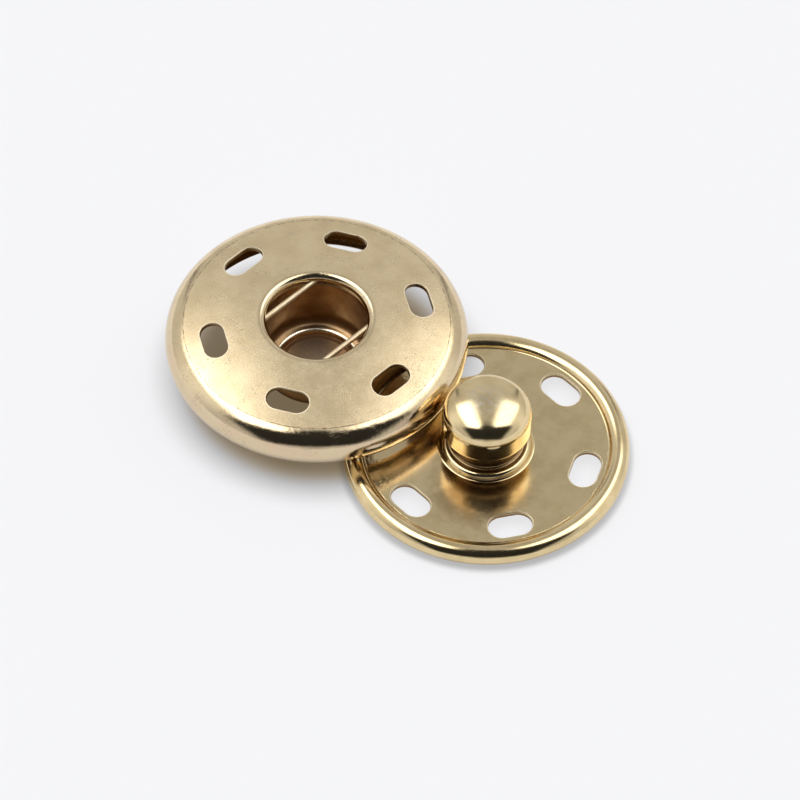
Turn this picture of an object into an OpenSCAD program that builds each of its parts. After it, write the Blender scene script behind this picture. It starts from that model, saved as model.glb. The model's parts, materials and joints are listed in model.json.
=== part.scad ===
// Sew-on snap fastener, both halves, lying on a table as a loose pair.
// The origin is on the table at the middle of the socket half's base, +Z is up,
// and +X points from the socket half to the stud half.

/* [Socket shell] */
// Outer diameter of the socket half
shell_d = 30; // [28:0.5:36]
// Sheet thickness of the shell
shell_t = 0.45; // [0.3:0.05:0.55]
// Outside bend radius of the mouth's lip
lip_r = 0.65; // [0.6:0.05:0.8]
// Radius of the dome that the flange is pressed to
dome_r = 65; // [55:1:90]
// Outside radius of the rolled rim
rim_r = 2.4; // [2:0.05:2.6]
// Width of the rolled rim, from the outer edge in to the crease
rim_w = 1.8; // [1.6:0.05:1.9]
// How far the rim is rolled under, below the level
rim_wrap = 62; // [40:1:80]

/* [Sewing slots] */
// Number of slots in each half
slot_count = 6; // [4:1:6]
// Land between a slot and the socket half's crease
shell_slot_land = 1.58; // [1.2:0.02:2]
// Length of a slot in the socket half
shell_slot_l = 4.3; // [3:0.1:5]
// Width of a slot in the socket half
shell_slot_w = 2.35; // [1.8:0.05:2.6]
// Land between a slot and the fillet of the stud half's rim
stud_slot_land = 0.48; // [0.3:0.02:1.4]
// Length of a slot in the stud half
stud_slot_l = 4.4; // [3:0.1:5]
// Width of a slot in the stud half
stud_slot_w = 2.75; // [1.8:0.05:2.9]

/* [Socket cup] */
// Sheet thickness of the cup
cup_t = 0.45; // [0.3:0.05:0.55]
// Radius inside the cup's bottom corner
cup_corner_r = 0.8; // [0.4:0.05:0.9]
// Width of the ring of floor round the recess
floor_ring_w = 1.3; // [1.2:0.1:2.2]
// Depth of the recess in the floor
recess_h = 0.5; // [0.35:0.05:0.7]
// Width of the flange that seats under the shell
cup_flange_w = 1; // [0.6:0.1:1.6]

/* [Spring] */
// Diameter of the spring wire
wire_d = 0.57; // [0.4:0.01:0.65]
// Bend radius where a leg runs into the bow
leg_bend_r = 1.5; // [1:0.1:2]

/* [Stud half] */
// Outer diameter of the stud half
stud_d = 28.3; // [27:0.1:30]
// Sheet thickness of the stud half
stud_t = 0.45; // [0.3:0.05:0.46]
// Outside diameter of the rolled rim
bead_d = 2.14; // [1.9:0.02:2.3]
// How far the rim stands above the field
bead_proud = 0.56; // [0.4:0.02:0.7]
// Diameter of the head
head_d = 8.8; // [8.4:0.1:9.4]
// Height of the neck, from the raised seat to the head's lower edge
neck_h = 2.02; // [1.9:0.02:2.4]
// Height of the head's straight side
head_side_h = 1.69; // [1:0.01:2]
// Radius of the head's shoulder
shoulder_r = 2.1; // [1.2:0.1:2.4]
// Angle at which the shoulder runs into the flatter crown
crown_angle = 70; // [60:1:78]

/* [Fit of the two halves] */
// Play of the head in the mouth, on each side
head_play = 0.65; // [0.55:0.05:0.8]
// Step from the mouth out to the cup's bore
bore_step = 0.2; // [0.1:0.05:0.4]
// How far each leg of the spring gives way as the head passes
leg_give = 0.75; // [0.65:0.05:0.8]
// Play between the neck and each leg in the closed pair
neck_play = 0.2; // [0.15:0.05:0.3]
// Play between the raised seat and the spring in the closed pair
spring_play = 0.26; // [0.1:0.01:0.3]
// Gap between the lip and the stud half's field in the closed pair
closed_gap = 0.21; // [0.15:0.01:0.4]
// Gap between the crown and the cup's recess, short of the closed gap
crown_play = 0.22; // [0.2:0.01:0.8]

/* [Pose of the pair] */
// Turn of the socket half about its axis
socket_turn = -12.5; // [-180:0.5:180]
// Turn of the stud half about its axis
stud_turn = 16.1; // [-180:0.5:180]
// Gap between the stud half's rim and the socket's cup
pair_gap = 0.1; // [0.05:0.05:5]

/* [Hidden] */
$fn = 96;

// Clearances between pieces that seat on each other
seat_gap = 0.02;
wire_gap = 0.06;
bow_gap = 0.2;
// Smallest inside radius that a bend keeps
min_bend = 0.05;
// One straight step along an arc, in degrees
arc_step = 7.5;
dome_step = 0.8;
crown_step = 4;
bend_step = 12;
bow_step = 6;
// How far a slot's cutter runs past the sheet
cut_over = 1;

// Sizes that the two halves take from each other
mouth_r = head_d / 2 + head_play;
cup_r = mouth_r + bore_step;
leg_r = head_d / 2 - leg_give;
neck_r = leg_r - neck_play;
seat_h = lip_r + wire_gap + closed_gap - spring_play;

// Stud half, measured from the table
stud_r = stud_d / 2;
bead_r = bead_d / 2;
field_z = bead_d - bead_proud;
bead_c = [stud_r - bead_r, bead_r];
curl_end = 165;
rim_fillet = 0.25;
rim_fillet_c = [bead_c[0] - sqrt(pow(bead_r + rim_fillet, 2)
                                 - pow(field_z + rim_fillet - bead_r, 2)),
                field_z + rim_fillet];
rim_fillet_a = atan2(rim_fillet_c[1] - bead_c[1], bead_c[0] - rim_fillet_c[0]);
neck_fillet = 0.35;
seat_land = 0.18;
seat_fillet = 0.3;
seat_corner = stud_t + min_bend;
seat_a = 65;
seat_bends = seat_corner + seat_fillet;
seat_run = seat_bends * sin(seat_a) + (seat_h - seat_bends * (1 - cos(seat_a))) / tan(seat_a);
seat_r = neck_r + neck_fillet + seat_land + seat_run;
seat_z = field_z + seat_h;
head_r = head_d / 2;
hem_r = stud_t + min_bend;
hem_a = 55;
hem_c = [head_r - hem_r, seat_z + neck_h + hem_r];
throat_r = 0.6;
shoulder_c = [head_r - shoulder_r, hem_c[1] + head_side_h];
crown_r = shoulder_r + shoulder_c[0] / cos(crown_angle);
crown_z = shoulder_c[1] - (crown_r - shoulder_r) * sin(crown_angle);
post_h = crown_z + crown_r - field_z;
stud_slot_r = rim_fillet_c[0] - stud_slot_land - stud_slot_w / 2;

// Shell, measured from the top of the lip
shell_r = shell_d / 2;
lip_c = [mouth_r + lip_r, -lip_r];
dome_z = lip_c[1] - sqrt(pow(dome_r - lip_r, 2) - pow(lip_c[0], 2));
dome_in = acos(lip_c[0] / (dome_r - lip_r));
crease_r = shell_r - rim_w;
dome_out = acos(crease_r / dome_r);
crease_z = dome_z + dome_r * sin(dome_out);
rim_in = acos((rim_r - rim_w) / rim_r);
rim_c = [shell_r - rim_r, crease_z - rim_r * sin(rim_in)];
shell_slot_r = crease_r - shell_slot_land - shell_slot_w / 2;

// Spring, lying between the shell and the cup's shelf
wire_r = wire_d / 2;
wire_z = -(lip_r + wire_gap + wire_r);
leg_x = leg_r + wire_r;
bow_r = cup_r + cup_t + bow_gap + wire_r;
bend_c = [leg_x - leg_bend_r,
          -sqrt(pow(bow_r - leg_bend_r, 2) - pow(leg_x - leg_bend_r, 2))];
bend_a = atan2(-bend_c[1], bend_c[0]);
leg_short = 0.1;
leg_tip = sqrt(pow(bow_r, 2) - pow(leg_x, 2)) - leg_short;
tip_round = 0.12;
wire_sides = 16;

// Cup, measured from the top of the lip
cup_depth = post_h + crown_play - recess_h;
shelf_z = wire_z - wire_r - seat_gap;
shelf_bend_r = cup_t + min_bend;
shelf_past_bow = 0.12;
shelf_r = bow_r + wire_r + shelf_past_bow;
ramp_in_r = 0.2;
ramp_angle = 50;
ramp_reach = 0.9;
under_r = dome_r - shell_t - seat_gap;
flange_z = dome_z + under_r * sin(acos((shelf_r + ramp_reach) / under_r));
ramp_bends = ramp_in_r + shelf_bend_r;
ramp_run = ramp_bends * sin(ramp_angle)
    + (flange_z - shelf_z - ramp_bends * (1 - cos(ramp_angle))) / tan(ramp_angle);
ramp_r = shelf_r + ramp_run;
step_in_r = 0.3;
step_out_r = cup_t + min_bend;
step_angle = 65;
step_bends = step_in_r + step_out_r;
step_run = step_bends * sin(step_angle)
    + (recess_h - step_bends * (1 - cos(step_angle))) / tan(step_angle);
step_r = cup_r - floor_ring_w - step_run / 2;
cup_h = cup_depth + recess_h + cup_t;

// Place of the stud half: under the socket half's rim where there is room for it there,
// and otherwise with its own rim against the socket half's
rim_z = cup_h + rim_c[1];
tucks_under = rim_z - rim_r * sin(rim_wrap) > bead_d + pair_gap;
tucked_x = max(cup_r + cup_t + stud_r, shell_r + max(seat_r, head_r)) + pair_gap;
rims_apart = rim_r + bead_r + pair_gap;
beside_x = rim_c[0] + sqrt(max(0, pow(rims_apart, 2) - pow(rim_z - bead_c[1], 2))) + bead_c[0];
pair_x = tucks_under ? tucked_x : beside_x;

// Points along an arc, from angle a to angle b
function arc(c, r, a, b, step = arc_step) =
    let (n = max(1, ceil(abs(b - a) / step)))
    [for (i = [0:n]) c + r * [cos(a + (b - a) * i / n), sin(a + (b - a) * i / n)]];

// One face of the shell's sheet: k is 0 on the outside and the thickness inside
function shell_face(k) = concat(
    arc(lip_c, lip_r - k, 180, dome_in),
    arc([0, dome_z], dome_r - k, dome_in, dome_out, dome_step),
    arc(rim_c, rim_r - k, rim_in, -rim_wrap));

// One face of the cup's sheet: k is 0 on the inside and the thickness outside
function cup_face(k) = concat(
    [[0, -cup_depth - recess_h - k]],
    arc([step_r, step_in_r - cup_depth - recess_h], step_in_r + k, 270, 270 + step_angle),
    arc([step_r + step_run, -cup_depth - step_out_r], step_out_r - k, 90 + step_angle, 90),
    arc([cup_r - cup_corner_r, cup_corner_r - cup_depth], cup_corner_r + k, 270, 360),
    arc([cup_r + shelf_bend_r, shelf_z - shelf_bend_r], shelf_bend_r - k, 180, 90),
    arc([shelf_r, shelf_z + ramp_in_r], ramp_in_r + k, 270, 270 + ramp_angle),
    arc([ramp_r, flange_z - shelf_bend_r], shelf_bend_r - k, 90 + ramp_angle, 90),
    arc([0, dome_z], under_r - k, acos(ramp_r / under_r),
        acos((ramp_r + cup_flange_w) / under_r), dome_step));

// One face of the stud half's sheet: k is 0 on the outside and the thickness inside
function stud_face(k) = concat(
    arc([0, crown_z], crown_r - k, 90, crown_angle, crown_step),
    arc(shoulder_c, shoulder_r - k, crown_angle, 0),
    arc(hem_c, hem_r - k, 0, -hem_a),
    arc([neck_r + throat_r, throat_z()], throat_r + k, 180 - hem_a, 180),
    arc([neck_r + neck_fillet, seat_z + neck_fillet], neck_fillet + k, 180, 270),
    arc([seat_r - seat_run, seat_z - seat_corner], seat_corner - k, 90, 90 - seat_a),
    arc([seat_r, field_z + seat_fillet], seat_fillet + k, 270 - seat_a, 270),
    arc(rim_fillet_c, rim_fillet + k, 270, 360 - rim_fillet_a),
    arc(bead_c, bead_r - k, 180 - rim_fillet_a, -curl_end));

// Height of the throat's arc, where the head's underside runs into the neck
function throat_z() = let (
    under_edge = hem_c + hem_r * [cos(hem_a), -sin(hem_a)],
    throat_edge_r = neck_r + throat_r - throat_r * cos(hem_a),
    fall = (under_edge[0] - throat_edge_r) / tan(hem_a))
    under_edge[1] - fall - throat_r * sin(hem_a);

// Solid of revolution between two faces of a sheet
module sheet(outside, inside) {
    rotate_extrude()
        polygon(concat(outside, [for (i = [len(inside) - 1:-1:0]) inside[i]]));
}

// Half of the wire's line, from the tip of a leg to the middle of the bow
function half_wire() = let (bow = arc([0, 0], bow_r, -bend_a, -90, bow_step))
    concat(
        [[leg_x, leg_tip], [leg_x, leg_tip - tip_round]],
        arc(bend_c, leg_bend_r, 0, -bend_a, bend_step),
        [for (i = [1:len(bow) - 1]) bow[i]]);

// Direction that the line takes at point i
function heading(line, i) = let (
    d = line[min(i + 1, len(line) - 1)] - line[max(i - 1, 0)])
    d / norm(d);

// Round wire along a flat line, with its two ends rounded off
module wire() {
    half = half_wire();
    last = len(half) - 1;
    line = concat(half, [for (i = [last - 1:-1:0]) [-half[i][0], half[i][1]]]);
    rings = len(line);
    points = [for (i = [0:rings - 1])
        let (h = heading(line, i), r = i == 0 || i == rings - 1 ? wire_r - tip_round : wire_r)
        for (j = [0:wire_sides - 1])
            let (a = j * 360 / wire_sides)
            [line[i][0] - h[1] * r * cos(a), line[i][1] + h[0] * r * cos(a), r * sin(a)]];
    sides = [for (i = [0:rings - 2]) for (j = [0:wire_sides - 1])
        let (k = (j + 1) % wire_sides)
        [i * wire_sides + j, i * wire_sides + k, (i + 1) * wire_sides + k, (i + 1) * wire_sides + j]];
    ends = [[for (j = [wire_sides - 1:-1:0]) j],
            [for (j = [0:wire_sides - 1]) (rings - 1) * wire_sides + j]];
    polyhedron(points, concat(sides, ends));
}

// Round-ended slots on a circle, long side along the circle, cut through a sheet
module slots(circle_r, length, width, sheet_low, sheet_high) {
    for (i = [0:slot_count - 1])
        rotate([0, 0, i * 360 / slot_count])
            translate([circle_r, 0, sheet_low - cut_over])
                linear_extrude(sheet_high - sheet_low + 2 * cut_over) {
                    square([width, length - width], center = true);
                    for (side = [-1, 1])
                        translate([0, side * (length - width) / 2])
                            circle(d = width);
                }
}

module in_socket() {
    translate([0, 0, cup_h])
        rotate([0, 0, socket_turn])
            children();
}

module socket_shell() {
    color("#d8bf95")
        in_socket()
            difference() {
                sheet(shell_face(0), shell_face(shell_t));
                slots(shell_slot_r, shell_slot_l, shell_slot_w, crease_z - shell_t, 0);
            }
}

module socket_cup() {
    color("#c6a878")
        in_socket()
            sheet(cup_face(0), cup_face(cup_t));
}

module socket_spring() {
    color("#e4e0d8")
        in_socket()
            translate([0, 0, wire_z])
                wire();
}

module stud_half() {
    color("#cdb184")
        translate([pair_x, 0, 0])
            rotate([0, 0, stud_turn])
                difference() {
                    sheet(stud_face(0), stud_face(stud_t));
                    slots(stud_slot_r, stud_slot_l, stud_slot_w, field_z - stud_t, field_z);
                }
}

socket_shell();
socket_cup();
socket_spring();
stud_half();
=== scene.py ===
import json
import math
import bpy
from mathutils import Matrix, Vector


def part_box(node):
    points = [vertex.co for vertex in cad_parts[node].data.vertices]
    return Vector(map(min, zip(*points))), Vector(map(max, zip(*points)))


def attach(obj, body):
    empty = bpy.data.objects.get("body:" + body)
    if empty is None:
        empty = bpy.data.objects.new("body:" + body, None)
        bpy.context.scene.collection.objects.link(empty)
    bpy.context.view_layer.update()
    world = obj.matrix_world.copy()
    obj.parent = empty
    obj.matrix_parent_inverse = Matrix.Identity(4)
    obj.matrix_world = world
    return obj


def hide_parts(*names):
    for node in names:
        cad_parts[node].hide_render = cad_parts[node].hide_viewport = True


# Looks of a sew-on snap fastener: a socket half with its spring, and a stud half
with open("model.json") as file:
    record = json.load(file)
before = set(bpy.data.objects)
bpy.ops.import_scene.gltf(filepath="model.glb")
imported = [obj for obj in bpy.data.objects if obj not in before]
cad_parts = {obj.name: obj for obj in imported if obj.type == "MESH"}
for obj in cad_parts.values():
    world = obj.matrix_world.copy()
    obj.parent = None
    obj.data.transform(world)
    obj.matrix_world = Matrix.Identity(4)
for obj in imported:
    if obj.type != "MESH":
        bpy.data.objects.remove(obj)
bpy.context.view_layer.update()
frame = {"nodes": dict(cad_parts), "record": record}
bpy.ops.object.select_all(action="DESELECT")
mm = 0.001
print("frame loaded:", ", ".join(sorted(frame["nodes"])))

mounts = {mount["name"]: Vector(mount["pos_m"]) for mount in frame["record"]["mounts"]}
socketTop = Vector((0, 0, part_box("socket_shell")[1].z))  # top of the lip
studBase = Vector((mounts["stud_head"].x, 0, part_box("stud_half")[0].z))


# Modelling helpers: all in millimetres about the piece's own axis

def startLine(name, x, z):
    bpy.ops.mesh.primitive_plane_add(size=1, location=(x, 0, z))
    piece = bpy.context.object
    piece.name = name
    piece.data.name = name
    bpy.ops.object.mode_set(mode="EDIT")
    bpy.ops.mesh.merge(type="CENTER")
    return piece


def lineBy(dx, dz, lead=0.0):
    # lead is a short first and last stretch that keeps the flat part flat in shading
    length = math.hypot(dx, dz)
    parts = [lead / length, 1 - 2 * lead / length, lead / length] if lead else [1]
    for part in parts:
        move = {"value": (dx * part, 0, dz * part)}
        bpy.ops.mesh.extrude_region_move(TRANSFORM_OT_translate=move)


def arcBy(centre, degrees, step):
    # positive degrees turn from +X to +Z
    bpy.ops.mesh.spin(steps=max(1, math.ceil(abs(degrees) / step)), angle=math.radians(degrees),
                      center=(centre[0], 0, centre[1]), axis=(0, 1, 0))


def revolve(piece, steps, thickness, upRadius):
    # turns the drawn line into a sheet, with its drawn side facing up at upRadius
    bpy.ops.mesh.select_all(action="SELECT")
    bpy.ops.mesh.spin(steps=steps, angle=2 * math.pi, center=(0, 0, 0), axis=(0, 0, 1))
    bpy.ops.mesh.select_all(action="SELECT")
    bpy.ops.mesh.remove_doubles(threshold=0.0005)
    bpy.ops.mesh.normals_make_consistent(inside=False)
    bpy.ops.object.mode_set(mode="OBJECT")
    bpy.ops.object.transform_apply(location=True, rotation=True, scale=True)
    nearest = min(piece.data.polygons, key=lambda face: abs(face.center.to_2d().length - upRadius))
    if nearest.normal.z < 0:
        bpy.ops.object.mode_set(mode="EDIT")
        bpy.ops.mesh.select_all(action="SELECT")
        bpy.ops.mesh.flip_normals()
        bpy.ops.object.mode_set(mode="OBJECT")
    wall = piece.modifiers.new("wall", "SOLIDIFY")
    wall.thickness = thickness
    wall.offset = -1
    wall.use_even_offset = True
    bpy.ops.object.modifier_apply(modifier="wall")


def slotCutter(length, width, count, radius, height, tilt, roll):
    # a round-ended punch whose top flares by the steps of roll, copied round the axis
    half = (length - width) / 2
    above, below, roundSteps = 1.2, 1.5, 14
    bpy.ops.mesh.primitive_plane_add(size=1)
    cutter = bpy.context.object
    bpy.ops.object.mode_set(mode="EDIT")
    bpy.ops.mesh.merge(type="CENTER")
    reach = sum(out for out, down in roll)
    bpy.ops.transform.translate(value=(width / 2 + reach, half, 0))
    for side in (1, -1):
        bpy.ops.mesh.spin(steps=roundSteps, angle=-math.pi, center=(0, side * half, 0), axis=(0, 0, 1))
        bpy.ops.mesh.extrude_region_move(TRANSFORM_OT_translate={"value": (0, -2 * side * half, 0)})
    bpy.ops.mesh.select_all(action="SELECT")
    bpy.ops.mesh.remove_doubles(threshold=0.001)
    bpy.ops.mesh.edge_face_add()
    bpy.ops.transform.translate(value=(0, 0, above))
    bpy.ops.mesh.extrude_region_move(TRANSFORM_OT_translate={"value": (0, 0, -above)})
    for out, down in roll:
        bpy.ops.mesh.extrude_region_move(TRANSFORM_OT_translate={"value": (0, 0, -down)})
        wide, long = width + 2 * reach, length + 2 * reach
        bpy.ops.transform.resize(value=((wide - 2 * out) / wide, (long - 2 * out) / long, 1))
        reach -= out
    bpy.ops.mesh.extrude_region_move(TRANSFORM_OT_translate={"value": (0, 0, -below)})
    bpy.ops.mesh.select_all(action="SELECT")
    bpy.ops.mesh.normals_make_consistent(inside=False)
    bpy.ops.object.mode_set(mode="OBJECT")
    cutter.rotation_euler = (0, math.radians(tilt), 0)
    cutter.location = (radius, 0, height)
    bpy.ops.object.transform_apply(location=True, rotation=True, scale=True)
    copies = [cutter]
    for index in range(1, count):
        copy = cutter.copy()
        copy.data = cutter.data.copy()
        bpy.context.collection.objects.link(copy)
        copy.rotation_euler = (0, 0, 2 * math.pi * index / count)
        copies.append(copy)
    for copy in copies:
        copy.select_set(True)
    bpy.context.view_layer.objects.active = cutter
    bpy.ops.object.transform_apply(location=True, rotation=True, scale=True)
    bpy.ops.object.join()
    return cutter


def punch(piece, cutter):
    bpy.ops.object.select_all(action="DESELECT")
    piece.select_set(True)
    bpy.context.view_layer.objects.active = piece
    hole = piece.modifiers.new("slots", "BOOLEAN")
    hole.object = cutter
    hole.solver = "EXACT"
    bpy.ops.object.modifier_apply(modifier="slots")
    bpy.data.objects.remove(cutter)


def settle(piece, node, place, turn, material, smoothAngle=29):
    # brings a piece to metres and to its place, smooths it and puts it on the body
    bpy.ops.object.select_all(action="DESELECT")
    piece.select_set(True)
    bpy.context.view_layer.objects.active = piece
    piece.scale = (mm, mm, mm)
    piece.rotation_euler = (0, 0, math.radians(turn))
    piece.location = place
    bpy.ops.object.transform_apply(location=True, rotation=True, scale=True)
    bpy.ops.object.shade_smooth_by_angle(angle=math.radians(smoothAngle))
    even = piece.modifiers.new("even normals", "WEIGHTED_NORMAL")
    even.keep_sharp = True
    bpy.ops.object.modifier_apply(modifier="even normals")
    piece.data.materials.clear()
    piece.data.materials.append(material)
    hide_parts(node)
    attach(piece, "root")
    bpy.ops.object.select_all(action="DESELECT")
    print(piece.name, "has", len(piece.data.polygons), "faces")


# Shader maths

class Wire:
    # the output of a shader node, so that plain operators make the next node
    def __init__(self, tree, socket=None):
        self.tree = tree
        self.socket = socket

    def node(self, kind, settings=None, values=None, output=0):
        made = self.tree.nodes.new(kind)
        for key, value in (settings or {}).items():
            setattr(made, key, value)
        for key, value in (values or {}).items():
            if isinstance(value, Wire):
                self.tree.links.new(value.socket, made.inputs[key])
            else:
                made.inputs[key].default_value = value
        return Wire(self.tree, made.outputs[output])

    def maths(self, operation, other=0.0, third=0.0):
        return self.node("ShaderNodeMath", {"operation": operation}, {0: self, 1: other, 2: third})

    def __add__(self, other):
        return self.maths("ADD", other)

    __radd__ = __add__

    def __mul__(self, other):
        return self.maths("MULTIPLY", other)

    def __sub__(self, other):
        return self.maths("SUBTRACT", other)

    def __rsub__(self, other):
        return self.node("ShaderNodeMath", {"operation": "SUBTRACT"}, {0: other, 1: self})

    def __truediv__(self, other):
        return self.maths("DIVIDE", other)

    def squared(self):
        return self * self

    def part(self, axis):
        # one number of a vector
        split = self.node("ShaderNodeSeparateXYZ", values={0: self})
        return Wire(self.tree, split.socket.node.outputs[axis])

    def vector(self):
        # a vector with this number along X
        return self.node("ShaderNodeCombineXYZ", values={0: self})

    def shifted(self, amounts):
        return self.node("ShaderNodeVectorMath", {"operation": "ADD"}, {0: self, 1: amounts})

    def length(self):
        return self.node("ShaderNodeVectorMath", {"operation": "LENGTH"}, {0: self}, 1)

    def fade(self, low, high, fromValue=0.0, toValue=1.0):
        # smooth step from fromValue at low to toValue at high
        return self.node("ShaderNodeMapRange", {"interpolation_type": "SMOOTHSTEP"},
                         {"Value": self, "From Min": low, "From Max": high,
                          "To Min": fromValue, "To Max": toValue})

    def mix(self, first, second):
        # colour mix by this mask
        return self.node("ShaderNodeMix", {"data_type": "RGBA"}, {0: self, 6: first, 7: second}, 2)


def startMaterial(name):
    material = bpy.data.materials.new(name)
    material.use_nodes = True
    tree = material.node_tree
    shader = tree.nodes["Principled BSDF"]
    return material, tree, shader


def pieceSpace(tree, centre):
    # place on the piece in millimetres from its own axis, and the distance from that axis
    coords = Wire(tree).node("ShaderNodeTexCoord", output=3)
    place = coords.node("ShaderNodeMapping", values={0: coords, 1: tuple(-c / mm for c in centre),
                                                     3: (1 / mm, 1 / mm, 1 / mm)})
    flat = place.node("ShaderNodeVectorMath", {"operation": "MULTIPLY"}, {0: place, 1: (1, 1, 0)})
    return place, flat.length()


def noise(place, scale, detail=2.0, rough=0.5, stretch=(1, 1, 1)):
    spread = place.node("ShaderNodeVectorMath", {"operation": "MULTIPLY"}, {0: place, 1: stretch})
    return place.node("ShaderNodeTexNoise", {"noise_dimensions": "3D"},
                      {"Vector": spread, "Scale": scale, "Detail": detail, "Roughness": rough})


def slotGlintBand(place, radius, s):
    # mask of a narrow band round each slot, where a highlight is painted: 1 at its outline, 0 a little way
    # off
    angle = place.part(1).maths("ARCTAN2", place.part(0)) - math.radians(s["turn"])
    angle = angle.maths("WRAP", math.pi / s["slots"], -math.pi / s["slots"])
    along = (angle.maths("SINE") * radius).maths("ABSOLUTE") - (s["slotLength"] - s["slotWidth"]) / 2
    out = angle.maths("COSINE") * radius - s["slotRadius"]
    away = (along.maths("MAXIMUM", 0).squared() + out.squared()).maths("SQRT") - s["slotWidth"] / 2
    return away.fade(0.17, 0.06)


def bumps(shader, tree, height, distance):
    normal = height.node("ShaderNodeBump", values={"Height": height, "Distance": distance * mm})
    tree.links.new(normal.socket, shader.inputs["Normal"])


plateBlend = (0.35, 0.68)  # part of a noise over which two shades of plate blend


def satinGold(centre, s):
    # s has the shell's sizes: the painted shade on the underside, the painted shade in the crease and the
    # painted highlights round the slots follow them
    look = {
        "light": (0.81, 0.655, 0.415, 1), "deep": (0.72, 0.565, 0.34, 1), "stain": (0.60, 0.52, 0.38, 1),
        "inside": (0.34, 0.215, 0.095, 1), "creaseShade": (0.30, 0.22, 0.13, 1), "side": (0.66, 0.54, 0.36, 1),
        "blush": (0.70, 0.54, 0.385, 1), "pit": (0.42, 0.34, 0.23, 1), "edge": (0.92, 0.80, 0.58, 1),
        "flangeRough": 0.25, "rimRough": 0.11, "relief": 0.0045,
    }
    share = {"stain": 0.55, "speck": 0.3, "marks": 0.7, "side": 0.7, "creaseShade": 0.75, "pit": 0.8, "edge": 0.8}
    material, tree, shader = startMaterial("satin gold")
    place, radius = pieceSpace(tree, centre)
    height = place.part(2)
    # depth below the outer face of the dome or of the rim
    fromDome = place.shifted((0, 0, -s["domeZ"])).length()
    fromRim = ((radius - s["rim"][0]).squared() + (height - s["rim"][1]).squared()).maths("SQRT")
    onRim = radius.fade(s["crease"] - 0.02, s["crease"] + 0.02)
    depth = (s["dome"] - fromDome) * (1 - onRim) + (s["rimBend"] - fromRim) * onRim
    # painted shade: the underside of the sheet, out past the lip, is painted dark
    inside = depth.fade(0.13, 0.2) * radius.fade(s["lip"] - 0.1, s["lip"])
    # clouded plate with stains and specks; down the side of the rim the plate is painted darker, a painted
    # reflection of the shaded table, with a random blush
    cloud = noise(place, 0.3, 4, 0.6)
    mottle = noise(place, 1.6, 3, 0.7)
    grain = noise(place, 5.5, 3, 0.7)
    colour = cloud.fade(*plateBlend).mix(look["light"], look["deep"])
    stains = mottle.fade(0.5, 0.72) * cloud.fade(0.5, 0.62) * share["stain"]
    specks = grain.fade(0.6, 0.74) * share["speck"]
    colour = (stains + specks).maths("MINIMUM", share["marks"]).mix(colour, look["stain"])
    # painted reflection: the rim is painted darker lower down its side, where it faces the shaded table
    rimSideShade = onRim * (height - s["rim"][1]).fade(2.1, 1.2)
    rimShadeAndBlush = cloud.fade(0.4, 0.6).mix(look["side"], look["blush"])
    colour = (rimSideShade * share["side"]).mix(colour, rimShadeAndBlush)
    # broken line of painted shade in the crease, pits, and painted highlights round the slots
    broken = noise(place, 2.2, 3, 0.7).fade(0.42, 0.58)
    # painted shade: a broken dark line along the crease
    creaseShade = (radius - s["crease"]).maths("ABSOLUTE").fade(0.09, 0.03) * broken * (1 - inside)
    colour = (creaseShade * share["creaseShade"]).mix(colour, look["creaseShade"])
    pits = noise(place, 7, 2, 0.6).fade(0.55, 0.66) * noise(place, 0.5, 2).fade(0.5, 0.62)
    colour = (pits * share["pit"]).mix(colour, look["pit"])
    # painted highlight: a bright band round each slot
    edge = slotGlintBand(place, radius, s) * (1 - onRim) * depth.fade(0.1, 0.05)
    colour = (edge * share["edge"]).mix(colour, look["edge"])
    # painted shade on the underside of the sheet
    colour = inside.mix(colour, look["inside"])
    tree.links.new(colour.socket, shader.inputs["Base Color"])
    shader.inputs["Metallic"].default_value = 1
    # satin flange between a polished lip and a polished rim
    polished = (radius.fade(s["crease"] - 0.3, s["crease"] + 0.5)
                + radius.fade(s["lip"] + 0.25, s["lip"] - 0.1))
    rough = polished * (look["rimRough"] - look["flangeRough"]) + look["flangeRough"]
    rough = rough + (mottle - 0.5) * 0.12 + specks * 0.3 + inside * 0.15 + edge * 0.15
    tree.links.new(rough.socket, shader.inputs["Roughness"])
    waves = noise(place, 0.22, 1, 0.5)
    dents = noise(place, 0.9, 2, 0.6) * onRim
    fine = noise(place, 11, 2, 0.6)
    bumps(shader, tree, waves * 6 + dents * 4 + grain + fine * 0.35 - pits, look["relief"])
    return material


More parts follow.
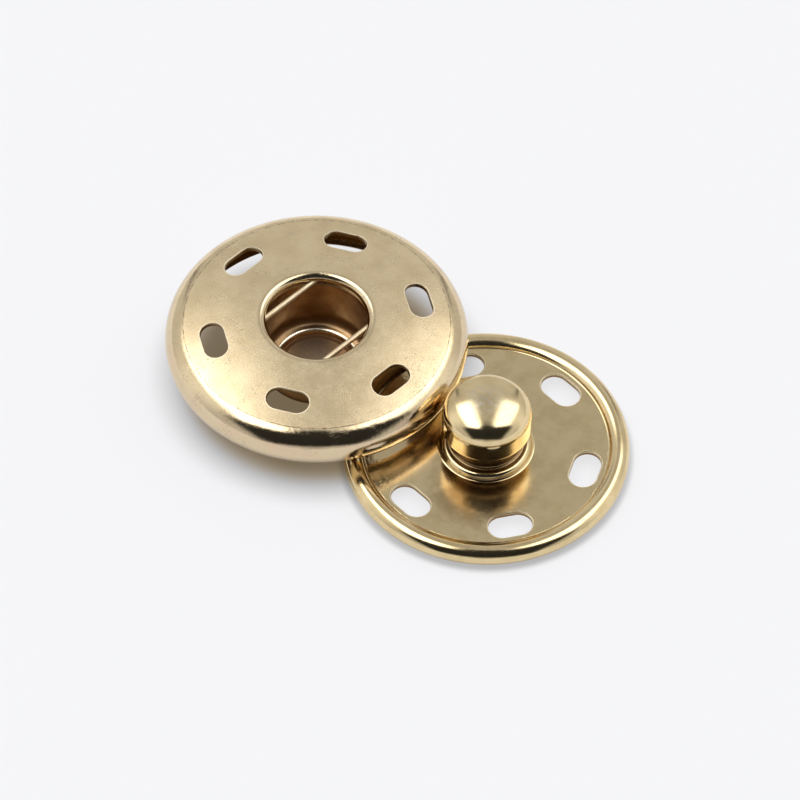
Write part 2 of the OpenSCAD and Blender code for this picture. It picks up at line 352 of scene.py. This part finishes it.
def polishedGold(centre, s):
    # s has the stud half's sizes
    look = {
        "light": (0.79, 0.63, 0.365, 1), "deep": (0.69, 0.54, 0.295, 1), "worn": (0.66, 0.59, 0.45, 1),
        "undersideThroatShade": (0.22, 0.13, 0.055, 1), "postShade": (0.28, 0.18, 0.09, 1), "edge": (0.92, 0.82, 0.6, 1),
        "rough": 0.13, "relief": 0.0045, "postShadeAt": (2.5, -5.2),
    }
    share = {"throat": 0.8, "grain": 0.35, "crown": 0.8, "worn": 0.85, "edge": 0.85, "postShade": 0.85}
    material, tree, shader = startMaterial("polished gold")
    place, radius = pieceSpace(tree, centre)
    height = place.part(2)
    # painted shade on the underside, and painted shade in the throat between the head and the seat
    fromBead = ((radius - s["beadX"]).squared() + (height - s["beadZ"]).squared()).maths("SQRT")
    beadIn = s["beadX"] - s["beadZ"]
    onBead = radius.fade(beadIn - 0.02, beadIn + 0.02)
    under = (height.fade(s["fieldZ"] - 0.12, s["fieldZ"] - 0.2) * (1 - onBead)
             + fromBead.fade(s["beadZ"] - 0.14, s["beadZ"] - 0.22) * onBead)
    throat = (height.fade(s["hemZ"] + 0.1, s["hemZ"] - 0.25)
              * height.fade(s["seatZ"] - 0.12, s["seatZ"] - 0.02)
              * radius.fade(s["seatTop"] + 0.25, s["seatTop"] - 0.05))
    undersideThroatShade = (under + throat * share["throat"]).maths("MINIMUM", 1)
    # clouded plate, worn on the crown of the head
    cloud = noise(place, 0.45, 4, 0.6)
    mottle = noise(place, 2.0, 3, 0.7)
    grain = noise(place, 6, 3, 0.7)
    crown = radius.fade(2.6, 1.2) * height.fade(s["hemZ"], s["hemZ"] + 2)
    colour = cloud.fade(*plateBlend).mix(look["light"], look["deep"])
    worn = (grain.fade(0.58, 0.72) * share["grain"]
            + crown * mottle.fade(0.4, 0.65) * share["crown"]).maths("MINIMUM", share["worn"])
    colour = worn.mix(colour, look["worn"])
    # painted highlights round the slots, and painted shade on the field before the post
    # painted highlight: a bright band round each slot
    edge = slotGlintBand(place, radius, s) * (height - s["fieldZ"]).maths("ABSOLUTE").fade(0.12, 0.06)
    colour = (edge * share["edge"]).mix(colour, look["edge"])
    # painted shade on the field in front of the post, broken up by noise
    fromPostShade = place.shifted((-look["postShadeAt"][0], -look["postShadeAt"][1], -s["fieldZ"])).length()
    postShade = (fromPostShade.fade(6.2, 1.8) * cloud.fade(0.2, 0.6)
             * height.fade(s["fieldZ"] + 0.5, s["fieldZ"] + 0.1))
    colour = (postShade * share["postShade"]).mix(colour, look["postShade"])
    # painted shade on the underside and in the throat
    colour = undersideThroatShade.mix(colour, look["undersideThroatShade"])
    tree.links.new(colour.socket, shader.inputs["Base Color"])
    shader.inputs["Metallic"].default_value = 1
    field = radius.fade(s["seat"] + 0.2, s["seat"] + 1.2) * (1 - onBead)
    rough = look["rough"] + (mottle - 0.5) * 0.1 + field * 0.04 + undersideThroatShade * 0.15 + worn * 0.12 + edge * 0.3
    tree.links.new(rough.socket, shader.inputs["Roughness"])
    # turned rings on the outer part of the field
    rings = noise(radius.vector(), 3.2, 3, 0.8)
    turned = field * radius.fade(8.5, 10.5) * cloud.fade(0.35, 0.6)
    waves = noise(place, 0.25, 1, 0.5)
    bumps(shader, tree, waves * 4 + turned * rings * 6 + grain * 0.5, look["relief"])
    return material


def drawnGold(centre, s):
    # s has the cup's sizes
    look = {
        "light": (0.62, 0.40, 0.20, 1), "deep": (0.42, 0.24, 0.10, 1), "cornerShade": (0.20, 0.10, 0.04, 1),
        "floor": (0.68, 0.51, 0.34, 1), "floorDeep": (0.56, 0.40, 0.26, 1), "edge": (0.97, 0.88, 0.7, 1),
        "rough": 0.36, "relief": 0.003, "recessGlintShare": 0.9, "cornerShadeShare": 0.9,
    }
    material, tree, shader = startMaterial("drawn gold")
    place, radius = pieceSpace(tree, centre)
    height = place.part(2)
    floorZ = s["floorZ"]
    cloud = noise(place, 0.5, 3, 0.55)
    mottle = noise(place, 2.4, 3, 0.6)
    colour = cloud.fade(0.3, 0.7).mix(look["light"], look["deep"])
    # painted light: the floor is painted lighter than the wall of the cup
    litFloorMask = radius.fade(s["step"] + 0.15, s["step"] - 0.25) * height.fade(floorZ + 0.2, floorZ - 0.1)
    colour = litFloorMask.mix(colour, mottle.fade(0.3, 0.7).mix(look["floor"], look["floorDeep"]))
    # painted highlight on the edge of the recess
    recessGlint = ((radius - s["edge"]).maths("ABSOLUTE").fade(0.42, 0.2)
              * height.fade(floorZ + 0.3, floorZ + 0.1))
    colour = (recessGlint * look["recessGlintShare"]).mix(colour, look["edge"])
    # painted shade in the two inside corners of the floor
    cornerShade = (height.fade(floorZ + 1.3, floorZ + 0.4) * radius.fade(s["edge"] + 0.3, s["edge"] + 0.6)
            + (radius - s["step"]).maths("ABSOLUTE").fade(0.35, 0.15)
            * height.fade(floorZ - 0.15, floorZ - 0.3))
    colour = (cornerShade * look["cornerShadeShare"]).mix(colour, look["cornerShade"])
    tree.links.new(colour.socket, shader.inputs["Base Color"])
    shader.inputs["Metallic"].default_value = 1
    rough = (mottle - 0.5) * 0.1 + look["rough"] + cornerShade * 0.25 - recessGlint * 0.15
    tree.links.new(rough.socket, shader.inputs["Roughness"])
    bumps(shader, tree, mottle + cloud * 4, look["relief"])
    return material


def springWire(centre):
    look = {"light": (0.84, 0.70, 0.48, 1), "deep": (0.70, 0.56, 0.36, 1), "rough": 0.45}
    material, tree, shader = startMaterial("spring wire")
    streak = noise(pieceSpace(tree, centre)[0], 6, 2, 0.5, (1, 0.15, 1))
    colour = streak.fade(*plateBlend).mix(look["light"], look["deep"])
    tree.links.new(colour.socket, shader.inputs["Base Color"])
    shader.inputs["Metallic"].default_value = 1
    rough = (streak - 0.5) * 0.1 + look["rough"]
    tree.links.new(rough.socket, shader.inputs["Roughness"])
    return material


slotRoll = ((0.045, 0.036), (0.03, 0.055), (0.012, 0.07))  # steps out and down round a slot's edge

# Socket shell: pressed dome with a rolled lip and a rolled rim

shell = {
    "diameter": 30, "sheet": 0.45, "mouth": 10.1, "lipBend": 0.65, "dome": 65,
    "rimBend": 2.4, "rimWidth": 1.8, "rimWrap": 62, "turn": -12.5,
    "slots": 6, "slotLength": 4.3, "slotWidth": 2.35, "slotLand": 1.58, "steps": 288,
}


def lipAndDome():
    # middle of the lip's bend, and height of the dome's middle
    lip = (shell["mouth"] / 2 + shell["lipBend"], -shell["lipBend"])
    return lip, lip[1] - math.sqrt((shell["dome"] - shell["lipBend"]) ** 2 - lip[0] ** 2)


def makeShell():
    s = shell
    outer = s["diameter"] / 2
    lip, domeZ = lipAndDome()
    domeIn = math.degrees(math.acos(lip[0] / (s["dome"] - s["lipBend"])))
    crease = outer - s["rimWidth"]
    domeOut = math.degrees(math.acos(crease / s["dome"]))
    creaseZ = domeZ + s["dome"] * math.sin(math.radians(domeOut))
    rimIn = math.degrees(math.acos((s["rimBend"] - s["rimWidth"]) / s["rimBend"]))
    rim = (outer - s["rimBend"], creaseZ - s["rimBend"] * math.sin(math.radians(rimIn)))
    piece = startLine("socket_shell_look", s["mouth"] / 2, lip[1])
    arcBy(lip, domeIn - 180, 6)
    arcBy((0, domeZ), domeOut - domeIn, 0.2)
    arcBy(rim, -s["rimWrap"] - rimIn, 4)
    revolve(piece, s["steps"], s["sheet"], crease - 2)
    slotRadius = crease - s["slotLand"] - s["slotWidth"] / 2
    slotZ = domeZ + math.sqrt(s["dome"] ** 2 - slotRadius ** 2)
    tilt = math.degrees(math.asin(slotRadius / s["dome"]))
    punch(piece, slotCutter(s["slotLength"], s["slotWidth"], s["slots"], slotRadius, slotZ, tilt, slotRoll))
    sizes = {"dome": s["dome"], "domeZ": domeZ, "crease": crease, "lip": lip[0], "rim": rim,
             "rimBend": s["rimBend"], "slotRadius": slotRadius, "turn": s["turn"], "slots": s["slots"],
             "slotLength": s["slotLength"], "slotWidth": s["slotWidth"]}
    settle(piece, "socket_shell", socketTop, s["turn"], satinGold(socketTop, sizes))


# Socket cup: drawn cup with a recess in its floor and a shelf that carries the spring

cup = {
    "bore": 10.5, "sheet": 0.45, "depth": 7.0955, "corner": 0.8, "floorRing": 1.3, "recess": 0.5,
    "stepIn": 0.3, "stepOut": 0.5, "stepAngle": 65, "shelfBend": 0.5, "shelfPastBow": 0.12,
    "rampIn": 0.2, "rampAngle": 50, "rampReach": 0.9, "seatGap": 0.02, "flange": 1.0, "flangeFall": 0.1,
    "steps": 192,
}
spring = {
    "wire": 0.57, "legsGap": 7.3, "bend": 1.5, "wireGap": 0.06, "bowGap": 0.2, "legShort": 0.1,
    "tipRound": 0.12, "sides": 24, "legSteps": 6, "bendSteps": 8, "bowSteps": 30,
}


def makeCup():
    c = cup
    bore = c["bore"] / 2
    wireZ = -(shell["lipBend"] + spring["wireGap"] + spring["wire"] / 2)
    shelfZ = wireZ - spring["wire"] / 2 - c["seatGap"]
    shelf = bore + c["sheet"] + spring["bowGap"] + spring["wire"] + c["shelfPastBow"]
    under = shell["dome"] - shell["sheet"] - c["seatGap"]
    flangeZ = lipAndDome()[1] + math.sqrt(under ** 2 - (shelf + c["rampReach"]) ** 2)
    ramp = math.radians(c["rampAngle"])
    rampBends = c["rampIn"] + c["shelfBend"]
    rampRise = flangeZ - shelfZ - rampBends * (1 - math.cos(ramp))
    rampX = shelf + rampBends * math.sin(ramp) + rampRise / math.tan(ramp)
    step = math.radians(c["stepAngle"])
    stepBends = c["stepIn"] + c["stepOut"]
    stepRise = c["recess"] - stepBends * (1 - math.cos(step))
    stepRun = stepBends * math.sin(step) + stepRise / math.tan(step)
    stepX = bore - c["floorRing"] - stepRun / 2
    floorZ = -c["depth"]
    piece = startLine("socket_cup_look", 0, floorZ - c["recess"])
    lineBy(stepX, 0, 0.05)
    arcBy((stepX, floorZ - c["recess"] + c["stepIn"]), c["stepAngle"], 8)
    lineBy(stepRise / math.tan(step), stepRise)
    arcBy((stepX + stepRun, floorZ - c["stepOut"]), -c["stepAngle"], 8)
    lineBy(bore - c["corner"] - stepX - stepRun, 0, 0.02)
    arcBy((bore - c["corner"], floorZ + c["corner"]), 90, 8)
    lineBy(0, shelfZ - c["shelfBend"] - floorZ - c["corner"], 0.05)
    arcBy((bore + c["shelfBend"], shelfZ - c["shelfBend"]), -90, 8)
    lineBy(shelf - bore - c["shelfBend"], 0, 0.05)
    arcBy((shelf, shelfZ + c["rampIn"]), c["rampAngle"], 10)
    lineBy(rampRise / math.tan(ramp), rampRise)
    arcBy((rampX, flangeZ - c["shelfBend"]), -c["rampAngle"], 10)
    lineBy(c["flange"], -c["flangeFall"])
    revolve(piece, c["steps"], c["sheet"], stepX / 2)
    sizes = {"step": stepX, "edge": stepX + stepRun, "floorZ": floorZ}
    material = drawnGold(socketTop, sizes)
    settle(piece, "socket_cup", socketTop, shell["turn"], material)


# Spring: one length of wire, bent round the cup, with a leg across each side of the mouth

def makeSpring():
    s = spring
    w = s["wire"] / 2
    z = -(shell["lipBend"] + s["wireGap"] + w)
    legX = s["legsGap"] / 2 + w
    bow = cup["bore"] / 2 + cup["sheet"] + s["bowGap"] + w
    bendX = legX - s["bend"]
    bendY = -math.sqrt((bow - s["bend"]) ** 2 - bendX ** 2)
    bendAngle = math.atan2(-bendY, bendX)
    tip = math.sqrt(bow ** 2 - legX ** 2) - s["legShort"]

    def leg(toBend):
        for stretch in range(s["legSteps"]):
            move = {"value": (0, toBend * (bendY - tip) / s["legSteps"], 0)}
            bpy.ops.mesh.extrude_region_move(TRANSFORM_OT_translate=move)

    def turn(steps, angle, x, y):
        bpy.ops.mesh.spin(steps=steps, angle=angle, center=(x, y, z), axis=(0, 0, 1))

    bpy.ops.mesh.primitive_circle_add(vertices=s["sides"], radius=w, location=(legX, tip, z),
                                      rotation=(math.pi / 2, 0, 0))
    piece = bpy.context.object
    piece.name = "socket_spring_look"
    bpy.ops.object.mode_set(mode="EDIT")
    leg(1)
    turn(s["bendSteps"], bendAngle, bendX, bendY)
    turn(s["bowSteps"], math.pi - 2 * bendAngle, 0, 0)
    turn(s["bendSteps"], bendAngle, -bendX, bendY)
    leg(-1)
    bpy.ops.mesh.select_all(action="SELECT")
    bpy.ops.mesh.remove_doubles(threshold=0.0005)
    bpy.ops.mesh.fill_holes(sides=64)
    bpy.ops.mesh.select_all(action="SELECT")
    bpy.ops.mesh.normals_make_consistent(inside=False)
    bpy.ops.object.mode_set(mode="OBJECT")
    bpy.ops.object.transform_apply(location=True, rotation=True, scale=True)
    tips = piece.modifiers.new("tips", "BEVEL")
    tips.width = s["tipRound"]
    tips.segments = 4
    tips.limit_method = "ANGLE"
    tips.angle_limit = math.radians(60)
    bpy.ops.object.modifier_apply(modifier="tips")
    settle(piece, "socket_spring", socketTop, shell["turn"], springWire(socketTop), 60)


# Stud half: one sheet, drawn up to a seat, a neck and a domed head, with a rolled rim

stud = {
    "diameter": 28.3, "sheet": 0.45, "bead": 2.14, "beadProud": 0.56, "curlEnd": 165, "rimFillet": 0.25,
    "seatHeight": 0.66, "seatLand": 0.18, "seatCorner": 0.5, "seatFillet": 0.3, "seatAngle": 65,
    "neck": 6.9, "neckHeight": 2.02, "neckFillet": 0.35, "head": 8.8, "hem": 0.5, "hemAngle": 55,
    "throat": 0.6, "headSide": 1.69, "shoulder": 2.1, "crownAngle": 70, "turn": 16.1,
    "slots": 6, "slotLength": 4.4, "slotWidth": 2.75, "slotLand": 0.48, "steps": 240,
    "fieldRings": 24, "fieldLead": 0.02,
}


def makeStud():
    s = stud
    outer = s["diameter"] / 2
    beadR = s["bead"] / 2
    fieldZ = s["bead"] - s["beadProud"]
    neck, head = s["neck"] / 2, s["head"] / 2
    seatZ = fieldZ + s["seatHeight"]
    seatBends = s["seatCorner"] + s["seatFillet"]
    seatA = math.radians(s["seatAngle"])
    seatFall = s["seatHeight"] - seatBends * (1 - math.cos(seatA))
    seat = (neck + s["neckFillet"] + s["seatLand"] + seatBends * math.sin(seatA)
            + seatFall / math.tan(seatA))
    hem = (head - s["hem"], seatZ + s["neckHeight"] + s["hem"])
    shoulder = (head - s["shoulder"], hem[1] + s["headSide"])
    crownR = s["shoulder"] + shoulder[0] / math.cos(math.radians(s["crownAngle"]))
    crownZ = shoulder[1] - (crownR - s["shoulder"]) * math.sin(math.radians(s["crownAngle"]))
    hemA = math.radians(s["hemAngle"])
    underX, underZ = hem[0] + s["hem"] * math.cos(hemA), hem[1] - s["hem"] * math.sin(hemA)
    throatX = neck + s["throat"] - s["throat"] * math.cos(hemA)
    fall = (underX - throatX) / math.tan(hemA)
    throatZ = underZ - fall - s["throat"] * math.sin(hemA)
    bead = (outer - beadR, beadR)
    filletZ = fieldZ + s["rimFillet"]
    filletX = bead[0] - math.sqrt((beadR + s["rimFillet"]) ** 2 - (filletZ - beadR) ** 2)
    filletA = math.degrees(math.atan2(filletZ - bead[1], bead[0] - filletX))
    piece = startLine("stud_half_look", 0, crownZ + crownR)
    arcBy((0, crownZ), s["crownAngle"] - 90, 0.8)
    arcBy(shoulder, -s["crownAngle"], 3.5)
    lineBy(0, -s["headSide"], 0.05)
    arcBy(hem, -s["hemAngle"], 7)
    lineBy(throatX - underX, -fall)
    arcBy((neck + s["throat"], throatZ), s["hemAngle"], 7)
    lineBy(0, seatZ + s["neckFillet"] - throatZ, 0.02)
    arcBy((neck + s["neckFillet"], seatZ + s["neckFillet"]), 90, 8)
    lineBy(s["seatLand"], 0, 0.03)
    arcBy((neck + s["neckFillet"] + s["seatLand"], seatZ - s["seatCorner"]), -s["seatAngle"], 8)
    lineBy(seatFall / math.tan(seatA), -seatFall)
    arcBy((seat, fieldZ + s["seatFillet"]), s["seatAngle"], 8)
    ringShare = (1 - 2 * s["fieldLead"]) / s["fieldRings"]
    for share in [s["fieldLead"]] + [ringShare] * s["fieldRings"] + [s["fieldLead"]]:
        lineBy((filletX - seat) * share, 0)
    arcBy((filletX, filletZ), 90 - filletA, 6)
    arcBy(bead, filletA - 180 - s["curlEnd"], 5)
    revolve(piece, s["steps"], s["sheet"], (seat + filletX) / 2)
    slotRadius = filletX - s["slotLand"] - s["slotWidth"] / 2
    punch(piece, slotCutter(s["slotLength"], s["slotWidth"], s["slots"], slotRadius, fieldZ, 0, slotRoll))
    sizes = {"beadX": bead[0], "beadZ": bead[1], "fieldZ": fieldZ, "hemZ": hem[1], "seatZ": seatZ,
             "seat": seat, "seatTop": neck + s["neckFillet"] + s["seatLand"], "slotRadius": slotRadius,
             "turn": s["turn"], "slots": s["slots"], "slotLength": s["slotLength"],
             "slotWidth": s["slotWidth"]}
    material = polishedGold(studBase, sizes)
    settle(piece, "stud_half", studBase, s["turn"], material)


# Camera at the photograph's angle, for an 800 x 800 image

view = {"target": (9.176, 1.070, 0.0), "forward": (-0.3311, 0.5230, -0.7854), "distance": 767.3,
        "roll": 0.881, "focal": 7750, "image": 800, "sensor": 36}


def makeCamera():
    v = view
    forward = Vector(v["forward"]).normalized()
    side = forward.cross(Vector((0, 0, 1))).normalized()
    up = side.cross(forward)
    roll = math.radians(v["roll"])
    right = side * math.cos(roll) + up * math.sin(roll)
    up = right.cross(forward)
    bpy.ops.object.camera_add()
    camera = bpy.context.object
    turned = Matrix((right, up, -forward)).transposed().to_4x4()
    camera.matrix_world = Matrix.Translation((Vector(v["target"]) - v["distance"] * forward) * mm) @ turned
    camera.data.sensor_width = v["sensor"]
    camera.data.lens = v["focal"] / v["image"] * v["sensor"]
    camera.data.clip_start = 0.05
    camera.data.clip_end = 50
    bpy.context.scene.camera = camera


# White table

table = {
    "size": 6.0, "colour": (0.16, 0.16, 0.165, 1), "rough": 0.55, "shine": 0.2,
    "lit": 0.77, "white": (0.98, 0.982, 1, 1), "shade": (1.0, 0.76, 0.44, 1), "tint": (-0.02, 0.5),
    "shadeAt": (0.6, -0.4), "shadeTo": 11.2, "litFrom": 17.6, "dim": 0.21,
    "contact": 0.43, "contactOut": (0.7, -0.2), "contactIn": (-2.4, -1.1),
}


def makeTable():
    t = table
    bpy.ops.mesh.primitive_plane_add(size=t["size"], location=(0, 0, 0))
    piece = bpy.context.object
    piece.name = "table"
    material, tree, shader = startMaterial("white table")
    shader.inputs["Base Color"].default_value = t["colour"]
    shader.inputs["Roughness"].default_value = t["rough"]
    shader.inputs["Specular IOR Level"].default_value = t["shine"]
    path = tree.nodes.new("ShaderNodeLightPath")
    seen = (Wire(tree, path.outputs["Is Camera Ray"]) + Wire(tree, path.outputs["Is Glossy Ray"])
            + Wire(tree, path.outputs["Is Transmission Ray"])).maths("MINIMUM", 1)
    # under the socket half the table is out of the light, and tinted by the gold above it
    fromSocket = pieceSpace(tree, (t["shadeAt"][0] * mm, t["shadeAt"][1] * mm, 0))[1]
    clear = fromSocket.fade(t["shadeTo"], t["litFrom"])
    # a narrow shade round the bead of the stud half
    fromStud = pieceSpace(tree, studBase)[1]
    bead = stud["diameter"] / 2
    contact = t["contact"]
    for near, far in (t["contactOut"], t["contactIn"]):
        contact = fromStud.fade(bead + near, bead + far) * contact
    level = seen * (clear * (1 - t["dim"]) + t["dim"]) * (1 - contact)
    hue = clear.fade(*t["tint"]).mix(t["shade"], t["white"])
    tree.links.new(level.mix((0, 0, 0, 1), hue).socket, shader.inputs["Emission Color"])
    shader.inputs["Emission Strength"].default_value = t["lit"]
    piece.data.materials.append(material)


# Studio: two softboxes overhead, pale walls round the table and the dark side of the camera.
# across and behind are the two axes of a map of directions, seen from the table,
# where 0 is straight up and 1 is level with the table.

studio = {
    "azimuth": 32.34, "lowest": -0.9, "middle": 0.05, "edge": 0.04, "leftBox": 3.3, "rightBox": 2.6,
    "boxInner": 0.07, "boxLean": 0.27, "leftOuter": 0.33, "rightOuter": 0.37,
    "leftFront": -0.19, "rightFront": -0.12, "leftBack": 0.315, "rightBack": 0.35,
    "walls": 0.66, "front": 0.7, "gap": 0.5, "glow": 0.36, "glowAt": 0.06, "glowReach": 0.42,
    "seam": 0.42, "seamAt": (0.33, 0.55), "seamLean": 0.42,
    "dark": 0.028, "leftDark": -0.18, "rightDark": -0.1, "darkBow": 0.25, "darkHalf": 0.52,
    "darkEnd": -0.82,
}


def makeStudio():
    s = studio
    world = bpy.data.worlds.new("studio")
    bpy.context.scene.world = world
    world.use_nodes = True
    tree = world.node_tree
    background = tree.nodes["Background"]
    direction = Wire(tree).node("ShaderNodeTexCoord")
    turned = direction.node("ShaderNodeMapping", {"vector_type": "POINT"},
                            {0: direction, 2: (0, 0, -math.radians(s["azimuth"]))})
    x, y, z = (turned.part(axis) for axis in range(3))
    below = z.maths("MAXIMUM", s["lowest"]) + 1
    across, behind = x / below, y / below
    off = across.maths("ABSOLUTE")
    e = s["edge"]

    def bySide(name):
        # the left value on the left of the middle, the right value on the right
        return across.fade(-s["middle"], s["middle"], s["left" + name], s["right" + name])

    # soft boxes, each with its own near, far and outer edge
    inner = behind.maths("MAXIMUM", 0) * s["boxLean"] + s["boxInner"]
    boxes = ((off - inner).fade(-e, e) * (off - bySide("Outer")).fade(2 * e, -2 * e)
             * (behind - bySide("Front")).fade(-e, e) * (behind - bySide("Back")).fade(e, -e))
    # pale walls, with the light of the boxes on them, a darker gap between the boxes and two seams
    glow = off.fade(0.25, 0.45) * (behind - s["glowAt"]).maths("ABSOLUTE").fade(s["glowReach"], 0)
    gap = off.fade(0.13, 0.05) * behind.fade(0.47, 0.38)
    seamAt = (behind - s["seamAt"][1]) * s["seamLean"] + s["seamAt"][0]
    seam = (off - seamAt).maths("ABSOLUTE").fade(0.06, 0.01) * behind.fade(0.4, 0.55)
    front = behind.fade(-0.7, -0.95)
    walls = (glow * s["glow"] + gap * (s["gap"] - s["walls"]) - seam * s["seam"]
             + front * (s["front"] - s["walls"]) + s["walls"])
    # dark side of the camera
    top = off.fade(0.03, 0.14) * bySide("Dark") - off * off * s["darkBow"]
    dark = ((behind - top).fade(0.07, -0.05) * behind.fade(s["darkEnd"] - 0.09, s["darkEnd"] + 0.09)
            * off.fade(s["darkHalf"] + 0.1, s["darkHalf"] - 0.1))
    level = (boxes * (bySide("Box") - walls) + walls) * (1 - dark) + dark * s["dark"]
    tree.links.new(level.socket, background.inputs["Strength"])
    background.inputs["Color"].default_value = (1, 1, 1, 1)


makeCamera()
makeTable()
makeStudio()
print("camera, table and studio made")
makeShell()
makeCup()
makeSpring()
makeStud()
bpy.context.scene.view_settings.view_transform = "Standard"
bpy.context.view_layer.update()
